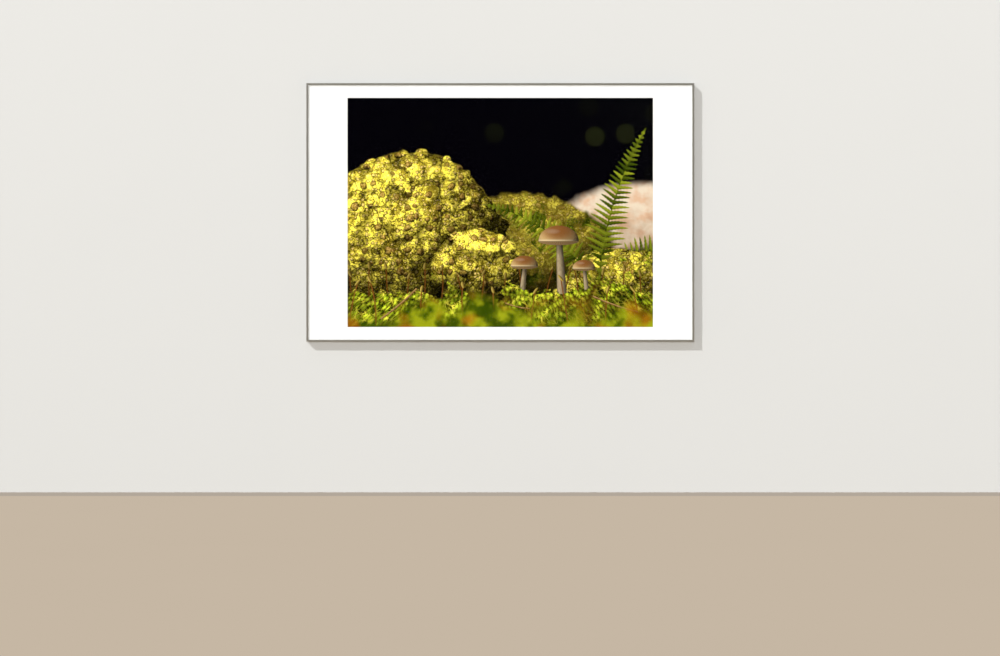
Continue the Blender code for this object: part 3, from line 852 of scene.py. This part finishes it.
def without(bm, *cutters):
    """The mesh with the cutters' shapes taken out of it."""
    made = [add(name, mesh_of(name, part)) for name, part in zip("abcdef", (bm, *cutters))]
    for cutter in made[1:]:
        boolean = made[0].modifiers.new("cut", "BOOLEAN")
        boolean.operation = "DIFFERENCE"
        boolean.object = cutter
    result = shown(made[0])
    for obj in made:
        bpy.data.objects.remove(obj)
    bmesh.ops.remove_doubles(result, verts=result.verts, dist=MERGE)
    return result


def plate(outlines, thickness, radius):
    """A flat plate from its edge and its holes, centred in its thickness, with every edge softened."""
    curve = bpy.data.curves.new("plate", "CURVE")
    curve.dimensions = "2D"
    curve.fill_mode = "BOTH"
    curve.extrude = thickness / 2 - radius
    curve.bevel_depth = radius
    curve.bevel_resolution = 1
    curve.offset = -radius
    for outline in outlines:
        spline = curve.splines.new("POLY")
        spline.points.add(len(outline) - 1)
        for point, (x, y) in zip(spline.points, outline):
            point.co = (x, y, 0, 1)
        spline.use_cyclic_u = True
    flat = add("plate", curve)
    bm = shown(flat)
    bpy.data.objects.remove(flat)
    bmesh.ops.remove_doubles(bm, verts=bm.verts, dist=MERGE)
    bmesh.ops.recalc_face_normals(bm, faces=bm.faces)
    return bm


def rounded(corners, steps=5):
    """An outline with rounded corners, from (x, y, radius) for each corner."""
    points = []
    for i, (x, y, radius) in enumerate(corners):
        corner = Vector((x, y))
        before = (Vector(corners[i - 1][:2]) - corner).normalized()
        after = (Vector(corners[(i + 1) % len(corners)][:2]) - corner).normalized()
        half = before.angle(after) / 2
        centre = corner + (before + after).normalized() * (radius / math.sin(half))
        start = corner + before * (radius / math.tan(half)) - centre
        end = corner + after * (radius / math.tan(half)) - centre
        whole = start.angle_signed(end)
        points += [centre + Matrix.Rotation(-whole * n / steps, 2) @ start for n in range(steps + 1)]
    return points


def circle(x, y, radius, segments=32):
    turns = [2 * math.pi / segments * i for i in range(segments)]
    return [Vector((x + radius * math.cos(turn), y + radius * math.sin(turn))) for turn in turns]


def window_cuts(bm, half_w, half_h):
    """Cuts a sheet along the edges of a window in its middle, and returns the faces inside them."""
    for x, z in ((half_w, 0), (-half_w, 0), (0, half_h), (0, -half_h)):
        bmesh.ops.bisect_plane(
            bm, geom=bm.verts[:] + bm.edges[:] + bm.faces[:],
            plane_co=MIDDLE + Vector((x, 0, z)), plane_no=(bool(x), 0, bool(z)),
        )
    inside = []
    for face in bm.faces:
        away = face.calc_center_median() - MIDDLE
        if abs(away.x) < half_w / 2 and abs(away.z) < half_h / 2:
            inside.append(face)
    return inside


# Pieces


def rail_mesh(length):
    """One rail drawn along X from its section, softened along its edges and mitred at its ends."""
    rails = settings().rails
    near, far = SLOT_AT - rails.slot / 2, SLOT_AT + rails.slot / 2
    inside = rails.width - rails.wall
    back = RAIL_BACK + rails.wall
    bed = back + rails.channel
    shelf = bed + rails.shelf
    lip = RAIL_FRONT - rails.lip
    small = 0.12 * MM
    corners = [  # distance in from the outer side, depth, radius
        (0, RAIL_BACK, rails.soft_back), (near, RAIL_BACK, small), (near, back, small),
        (rails.wall, back, small), (rails.wall, bed, small), (inside, bed, small),
        (inside, back, small), (far, back, small), (far, RAIL_BACK, small),
        (rails.width, RAIL_BACK, rails.soft_back), (rails.width, shelf, rails.soft_back),
        (rails.wall, shelf, small), (rails.wall, lip, small), (rails.face, lip, small),
        (rails.face, RAIL_FRONT, rails.soft_front), (0, RAIL_FRONT, rails.soft_front),
    ]
    bm = bmesh.new()
    section = bm.faces.new([bm.verts.new((-length / 2, -depth, inward)) for inward, depth, _ in corners])
    drawn = bmesh.ops.extrude_face_region(bm, geom=[section], use_keep_orig=True)["geom"]
    ends = [v for v in drawn if isinstance(v, bmesh.types.BMVert)]
    bmesh.ops.translate(bm, vec=(length, 0, 0), verts=ends)
    long_edges = [e for e in bm.edges if abs(e.verts[0].co.x - e.verts[1].co.x) > length / 2]
    for radius, segments in ((rails.soft_front, 5), (rails.soft_back, 3), (small, 2)):
        places = [(-depth, inward) for inward, depth, r in corners if abs(r - radius) < MERGE]
        chosen = [
            e for e in long_edges
            if e.is_valid and any(math.dist(e.verts[0].co.yz, place) < MERGE for place in places)
        ]
        soften(bm, chosen, radius, segments)
    for vert in bm.verts:
        side = math.copysign(1, vert.co.x)
        vert.co.x = side * (length / 2 - vert.co.z - rails.mitre_gap / math.sqrt(2))
    return bm


class FRAMEDPRINT_OT_rails(bpy.types.Operator):
    """Adds the four mitred rails of anodised aluminium"""

    bl_idname = "framedprint.rails"
    bl_label = "Rails"

    def execute(self, context):
        across = anodised("anodised_along_x", "X")
        upright = anodised("anodised_along_z", "Z")
        for side, length, finish in (
            ("bottom", FRAME_W, across), ("right", FRAME_H, upright),
            ("top", FRAME_W, across), ("left", FRAME_H, upright),
        ):
            node = "rail_" + side
            piece("anodised_" + node, rail_mesh(length), place_of(side), [finish], node)
        return {"FINISHED"}


class FRAMEDPRINT_OT_glazing(bpy.types.Operator):
    """Adds the clear acrylic sheet with its polished edges"""

    bl_idname = "framedprint.glazing"
    bl_label = "Glazing"

    def execute(self, context):
        polish = 0.2 * MM
        bm = slab_of("acrylic_glazing")
        soften(bm, bm.edges[:], polish, 3)
        piece("clear_glazing", bm, Matrix(), [clear_acrylic()], "acrylic_glazing")
        return {"FINISHED"}


class FRAMEDPRINT_OT_window_mat(bpy.types.Operator):
    """Adds the white window mat, whose opening is cut at 45 degrees"""

    bl_idname = "framedprint.window_mat"
    bl_label = "Window mat"

    def execute(self, context):
        sheets = settings().sheets
        low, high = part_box("window_mat")
        bm = slab_of("window_mat")
        centre = window_cuts(bm, sheets.window_w / 2, sheets.window_h / 2)
        rims = [e for f in centre for e in f.edges]
        bmesh.ops.delete(bm, geom=centre, context="FACES_ONLY")
        for face in bmesh.ops.bridge_loops(bm, edges=rims)["faces"]:
            face.material_index = 1
        for vert in {v for e in rims for v in e.verts if v.co.y < (low.y + high.y) / 2}:
            vert.co.x += math.copysign(high.y - low.y, vert.co.x)
            vert.co.z += math.copysign(high.y - low.y, vert.co.z - MIDDLE.z)
        piece("window_mat_board", bm, Matrix(), [mat_face(), mat_core()], "window_mat")
        return {"FINISHED"}


def printed_picture():
    """Matt photo paper with the woodland printed on it."""
    finish = Finish("printed_picture")
    high = settings().sheets.window_h
    x, _, z = finish.parts(finish.place() - tuple(MIDDLE))
    tooth = finish.noise(finish.place(), 1300, 3, 0.6)
    return finish.surface(
        Base_Color=woodland(finish, x / high, z / high, settings().picture) * settings().picture.ink,
        Roughness=0.42 + tooth * 0.12,
        Specular_IOR_Level=0.0,
        Normal=finish.bump(tooth, 0.15, 0.03 * MM),
    )


def bare_paper():
    """The print's margin and back."""
    finish = Finish("bare_paper")
    tooth = finish.noise(finish.place(), 1300, 3, 0.6)
    return finish.surface(
        Base_Color=finish.toned(0.96 + tooth * 0.06, settings().sheets.paper_colour),
        Roughness=0.6 + tooth * 0.2,
        Normal=finish.bump(tooth, 0.15, 0.03 * MM),
    )


class FRAMEDPRINT_OT_print_sheet(bpy.types.Operator):
    """Adds the print on its sheet of paper, with a bare margin under the mat"""

    bl_idname = "framedprint.print_sheet"
    bl_label = "Print"

    def execute(self, context):
        sheets = settings().sheets
        half_w, half_h = sheets.window_w / 2 + sheets.bleed, sheets.window_h / 2 + sheets.bleed
        bm = slab_of("print_sheet")
        inside = window_cuts(bm, half_w, half_h)
        bm.normal_update()
        # the picture fills the map up to its top strip, where every other face has a box of its own
        middle_u, middle_v, reach_u, reach_v = 0.5, 0.474, 0.499, 0.473
        boxes, corners = 30, ((0.03, 0.955), (0.97, 0.955), (0.97, 0.995), (0.03, 0.995))
        baked = bm.loops.layers.uv.new("OFBake")
        others = 0
        for face in bm.faces:
            if face in inside and face.normal.y < 0:
                for loop in face.loops:
                    spot = loop.vert.co - MIDDLE
                    u, v = middle_u + spot.x / half_w * reach_u, middle_v + spot.z / half_h * reach_v
                    loop[baked].uv = (u, v)
                continue
            face.material_index = 1
            for loop, (u, v) in zip(face.loops, corners):
                loop[baked].uv = ((others + u) / boxes, v)
            others += 1
        piece("printed_sheet", bm, Matrix(), [printed_picture(), bare_paper()], "print_sheet")
        return {"FINISHED"}


class FRAMEDPRINT_OT_back_board(bpy.types.Operator):
    """Adds the hardboard back"""

    bl_idname = "framedprint.back_board"
    bl_label = "Back board"

    def execute(self, context):
        sanded = 0.25 * MM
        bm = slab_of("back_board")
        soften(bm, bm.edges[:], sanded, 2)
        piece("hardboard_back", bm, Matrix(), [hardboard()], "back_board")
        return {"FINISHED"}


def leaf_spring():
    """A bowed strip with round ends. Its ends press on the board and its crown on the rail's shelf."""
    low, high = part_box("spring_clip_bottom_2")
    thick = 0.5 * MM
    foot, crown = -low.y - thick / 2, thick / 2 - high.y
    half = (high.x - low.x) / 2
    width = high.z - low.z
    round_end = 4 * MM
    bm = bmesh.new()
    bmesh.ops.create_grid(bm, x_segments=56, y_segments=10, size=0.5)
    for vert in bm.verts:
        along = 2 * vert.co.x
        from_end = min(1, (1 - abs(along)) * half / round_end)
        taper = math.sqrt(max(0, 1 - (1 - from_end) ** 2))
        bow = 0.5 + 0.5 * math.cos(math.pi * along)
        across = vert.co.y * (width - 2 * round_end * (1 - taper))
        vert.co = (along * half, -(foot + (crown - foot) * bow), low.z - CAD_LOW.z + width / 2 + across)
    bmesh.ops.remove_doubles(bm, verts=bm.verts, dist=MERGE)
    bmesh.ops.recalc_face_normals(bm, faces=bm.faces)
    bmesh.ops.solidify(bm, geom=bm.faces[:], thickness=thick)
    bmesh.ops.translate(bm, vec=(0, thick / 2, 0), verts=bm.verts)
    return bm


class FRAMEDPRINT_OT_clips(bpy.types.Operator):
    """Adds the bowed spring clips that press the stack forward"""

    bl_idname = "framedprint.clips"
    bl_label = "Spring clips"

    def execute(self, context):
        finish = spring_steel()
        for side, count in (("bottom", 3), ("top", 3), ("right", 2), ("left", 2)):
            for i in range(1, count + 1):
                node = f"spring_clip_{side}_{i}"
                low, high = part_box(node)
                middle = place_of(side).inverted() @ ((low + high) / 2)
                place = place_of(side) @ Matrix.Translation((middle.x, 0, 0))
                piece(f"leaf_{node}", leaf_spring(), place, [finish], node)
        return {"FINISHED"}


def cut_slot(bm, reach, depth, width):
    """The mesh with a straight driving slot sunk into its top, which faces +Y."""
    top = max(v.co.y for v in bm.verts)
    return without(bm, slab((-reach, top - depth, -width / 2), (reach, top + MM, width / 2)))


def set_screw():
    """A headless screw with a slot, about Y. Its rear end is at y = 0."""
    radius, long, chamfer = 1.7 * MM, 2.7 * MM, 0.3 * MM
    pitch = 0.45 * MM
    turns = int((long - 2 * chamfer) / pitch)
    flank, root_at, root = 0.1 * MM, 0.28 * MM, 0.22 * MM
    profile = [(0, 0), (radius - chamfer, 0)]
    for i in range(turns):
        crest = -chamfer - i * pitch
        profile += [
            (radius - 0.02 * MM, crest), (radius, crest - flank), (radius - root, crest - root_at),
        ]
    profile += [(radius - chamfer, -long), (0, -long)]
    return cut_slot(turned(profile, 36), reach=2 * radius, depth=0.7 * MM, width=0.6 * MM)


class FRAMEDPRINT_OT_corner_joints(bpy.types.Operator):
    """Adds the set screws, and the steel of the plates that join the corners"""

    bl_idname = "framedprint.corner_joints"
    bl_label = "Corner joints"

    def execute(self, context):
        zinc = zinc_steel()
        for corner in CORNERS:
            for kept in ("corner_nut_", "corner_plate_"):
                refinish(kept + corner, zinc)
            for i in range(1, 5):
                node = f"set_screw_{corner}_{i}"
                turn = Matrix.Rotation(i * 0.7, 4, "Y") @ Matrix.Rotation(len(corner), 4, "Y")
                piece("slotted_" + node, set_screw(), seat(node) @ turn, [zinc], node)
        return {"FINISHED"}


def pan_head_screw(shank):
    """A low pan-head screw with a cross recess, about Y. Its head's underside is at y = 0."""
    radius, high, thread = 3.6 * MM, 1.2 * MM, 1.7 * MM
    rim = 0.32  # of the height, below the dome
    turns = [QUARTER * i / 8 for i in range(8)]
    dome = [(radius * math.cos(turn), high * (rim + (1 - rim) * math.sin(turn))) for turn in turns]
    under = radius - 0.08 * MM
    profile = [(0, high), *reversed(dome), (under, 0), (thread, 0), (thread, -shank), (0, -shank)]
    cutters = []
    wing_long, wing_wide, floor = 2.1 * MM, 0.42 * MM, 0.25 * MM
    for turn in (0, QUARTER):
        wing = slab((-wing_long, 0, -wing_wide), (wing_long, high + MM, wing_wide))
        for vert in wing.verts:
            if vert.co.y < MERGE:
                vert.co = (vert.co.x * 0.45, floor, vert.co.z * 0.6)
        bmesh.ops.rotate(wing, verts=wing.verts, cent=(0, 0, 0), matrix=Matrix.Rotation(turn, 3, "Y"))
        cutters.append(wing)
    return without(turned(profile, 48), *cutters)


def toothed_eye(drop):
    """The opening of a hanging plate. Its upper edge is toothed, to rest on the wall hook."""
    pitch, depth, count = 2 * MM, 0.9 * MM, 8
    half = count * pitch / 2
    teeth = []
    for i in range(count):
        x = -half + i * pitch
        teeth += [Vector((x, drop)), Vector((x + pitch / 2, drop + depth))]
    side, bottom = half + MM, drop + 10 * MM
    body = rounded([
        (side, drop + MM, 0.5 * MM), (side, bottom, 2.5 * MM),
        (-side, bottom, 2.5 * MM), (-side, drop + MM, 0.5 * MM),
    ])
    return teeth + [Vector((half, drop))] + body


class FRAMEDPRINT_OT_hangers(bpy.types.Operator):
    """Adds the two hanging plates, their screws and the nut strips inside the top rail"""

    bl_idname = "framedprint.hangers"
    bl_label = "Hanging plates"

    def execute(self, context):
        zinc = zinc_steel()
        shoulder, foot, hole, hole_at, head = 3 * MM, 6 * MM, 2.1 * MM, 14 * MM, 1.2 * MM
        for side in ("left", "right"):
            node = "hanging_plate_" + side
            low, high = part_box(node)
            half, thick = (high.x - low.x) / 2, high.y - low.y
            top, drop, bottom = CAD_HIGH.z - high.z, CAD_HIGH.z, CAD_HIGH.z - low.z
            edge = rounded([
                (-half, top, shoulder), (half, top, shoulder), (half, drop, shoulder),
                (half - foot, bottom, foot), (foot - half, bottom, foot), (-half, drop, shoulder),
            ])
            holes = [circle(x, SLOT_AT, hole) for x in (-hole_at, hole_at)]
            bm = plate([edge, toothed_eye(drop), *holes], thick, settings().hardware.soften)
            middle = (low + high) / 2
            place = Matrix.Translation((middle.x, middle.y, CAD_HIGH.z)) @ Matrix.Rotation(-QUARTER, 4, "X")
            piece("steel_" + node, bm, place, [zinc], node)
            refinish("nut_strip_" + side, zinc)
            for i in (1, 2):
                node = f"plate_screw_{side}_{i}"
                low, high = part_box(node)
                place = seat(node, head)
                place = place @ Matrix.Rotation(0.4 * i + place.translation.x, 4, "Y")
                screw = pan_head_screw(high.y - low.y - head)
                piece("pan_head_" + node, screw, place, [zinc], node)
        return {"FINISHED"}


class FRAMEDPRINT_OT_wall_pads(bpy.types.Operator):
    """Adds the soft pads that rest on the wall"""

    bl_idname = "framedprint.wall_pads"
    bl_label = "Wall pads"

    def execute(self, context):
        finish = soft_pad()
        round_edge, foot_edge = 0.8 * MM, 0.2 * MM
        for corner in CORNERS:
            node = "wall_pad_" + corner
            low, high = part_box(node)
            radius, thick = (high.x - low.x) / 2, high.y - low.y
            rim = arc((radius - round_edge, -round_edge), round_edge, 90, 0, 6)
            foot = arc((radius - foot_edge, foot_edge - thick), foot_edge, 0, -90, 3)
            bm = turned([(0, 0), *rim, *foot, (0, -thick)], 48)
            piece("soft_" + node, bm, seat(node), [finish], node)
        return {"FINISHED"}


# Stage


def matt(name, colour, scale):
    """Plain paint for the stage, with a barely seen mottle."""
    finish = Finish(name)
    cloud = finish.noise(finish.place(), scale, 3, 0.5)
    return finish, finish.toned(0.985 + cloud * 0.03, colour)


def one_sided(finish, front):
    """A look that is clear from behind, so that the back of the frame can be looked at."""
    clear = finish.node("BsdfTransparent", {}, {})
    behind = finish.node("NewGeometry", {}, {}, "Backfacing")
    return finish.end(finish.node("MixShader", {}, {0: behind, 1: front, 2: clear}))


def backdrop(name, corners, look):
    """A flat sheet of the stage."""
    bm = bmesh.new()
    bm.faces.new([bm.verts.new(corner) for corner in corners])
    mesh = mesh_of(name, bm)
    mesh.materials.append(look)
    made = add(name, mesh)
    return made


def surroundings(stage):
    """Even light from all round, before a pale backdrop."""
    world = bpy.data.worlds.new("surroundings")
    world.use_nodes = True
    tree = world.node_tree
    soft = tree.nodes["Background"]
    soft.inputs["Color"].default_value = (1, 1, 1, 1)
    soft.inputs["Strength"].default_value = stage.ambient
    seen = tree.nodes.new("ShaderNodeBackground")
    seen.inputs["Color"].default_value = (*stage.backdrop, 1)
    path = tree.nodes.new("ShaderNodeLightPath")
    mixed = tree.nodes.new("ShaderNodeMixShader")
    tree.links.new(path.outputs["Is Camera Ray"], mixed.inputs[0])
    tree.links.new(soft.outputs[0], mixed.inputs[1])
    tree.links.new(seen.outputs[0], mixed.inputs[2])
    tree.links.new(mixed.outputs[0], tree.nodes["World Output"].inputs[0])
    return world


def lamp(name, energy, direction, spread):
    """Parallel light along a direction, with its spread in degrees."""
    light = bpy.data.lights.new(name, "SUN")
    light.energy = energy
    light.angle = math.radians(spread)
    made = add(name, light)
    made.rotation_euler = Vector(direction).to_track_quat("-Z", "Y").to_euler()
    return made


class FRAMEDPRINT_OT_stage(bpy.types.Operator):
    """Adds the wall, the floor, the lights and the camera"""

    bl_idname = "framedprint.stage"
    bl_label = "Stage"

    def execute(self, context):
        stage = settings().stage
        floor_z = MIDDLE.z - stage.floor_drop
        wide, deep, high = 40, 40, 4
        wall_y = CAD_HIGH.y + 0.3 * MM
        finish, colour = matt("wall_paint", stage.wall, 2)
        paint = finish.node("BsdfPrincipled", {}, {"Base Color": colour, "Roughness": 0.9})
        paint = one_sided(finish, paint)
        # The strip along the foot of the wall glows evenly in a darker colour: painted shade where the wall
        # meets the floor.
        finish, colour = matt("painted_shade_line", stage.painted_shade_line, 2)
        line = one_sided(finish, finish.node("Emission", {}, {"Color": colour}))
        for name, y, top, look in (
            ("wall", wall_y, high, paint),
            ("painted_shade_line", wall_y - 1 * MM, floor_z + stage.painted_shade_line_h, line),
        ):
            corners = [(-wide, y, floor_z), (wide, y, floor_z), (wide, y, top), (-wide, y, top)]
            made = backdrop(name, corners, look)
            made.visible_diffuse = made.visible_glossy = False
            made.visible_transmission = made.visible_shadow = False
        finish, colour = matt("floor", stage.floor, 1.3)
        corners = [(x, y, floor_z) for x, y in ((-wide, -deep), (wide, -deep), (wide, deep), (-wide, deep))]
        backdrop("floor", corners, finish.end(finish.node("Emission", {}, {"Color": colour})))

        bpy.context.scene.world = surroundings(stage)
        lamp("key", stage.key, (0.91, 1, -0.91), 1.5)
        lamp("behind", stage.behind, (-0.7, -1, -0.8), 60)
        fill = lamp("fill", stage.fill, (0.05, 1, -0.05), 12)
        fill.visible_glossy = False

        bpy.context.scene.view_settings.view_transform = "Standard"
        camera = bpy.data.cameras.new("camera")
        camera.lens = stage.lens
        camera.sensor_width = 36
        image_width = 1000
        right, down = -0.3, 115.6  # pixels from the middle of the frame to the middle of the view
        away = image_width * stage.pixel * stage.lens / camera.sensor_width
        made = add("camera", camera)
        made.location = (right * stage.pixel, CAD_LOW.y - away, MIDDLE.z - down * stage.pixel)
        made.rotation_euler = (QUARTER, 0, 0)
        bpy.context.scene.camera = made
        return {"FINISHED"}


PIECES = (
    FRAMEDPRINT_OT_stage,
    FRAMEDPRINT_OT_rails,
    FRAMEDPRINT_OT_glazing,
    FRAMEDPRINT_OT_window_mat,
    FRAMEDPRINT_OT_print_sheet,
    FRAMEDPRINT_OT_back_board,
    FRAMEDPRINT_OT_clips,
    FRAMEDPRINT_OT_corner_joints,
    FRAMEDPRINT_OT_hangers,
    FRAMEDPRINT_OT_wall_pads,
)


class FRAMEDPRINT_PT_panel(bpy.types.Panel):
    """Lists the pieces of the framed print and their sizes and colours"""

    bl_label = "Framed Print"
    bl_idname = "FRAMEDPRINT_PT_panel"
    bl_space_type = "VIEW_3D"
    bl_region_type = "UI"
    bl_category = "Framed Print"

    def draw(self, context):
        for made in PIECES:
            self.layout.operator(made.bl_idname)
        for part in FramedPrintSettings.__annotations__:
            group, box = getattr(settings(), part), self.layout.box()
            for name in group.__annotations__:
                box.prop(group, name)


CLASSES = (
    RailSettings, SheetSettings, PictureSettings, HardwareSettings, StageSettings, FramedPrintSettings,
    *PIECES, FRAMEDPRINT_PT_panel,
)


def register():
    for made in CLASSES:
        bpy.utils.register_class(made)
    bpy.types.Scene.framed_print = PointerProperty(type=FramedPrintSettings)


def unregister():
    del bpy.types.Scene.framed_print
    for made in reversed(CLASSES):
        bpy.utils.unregister_class(made)


def main():
    register()
    for made in PIECES:
        group, name = made.bl_idname.split(".")
        getattr(getattr(bpy.ops, group), name)()


if __name__ == "__main__":
    main()
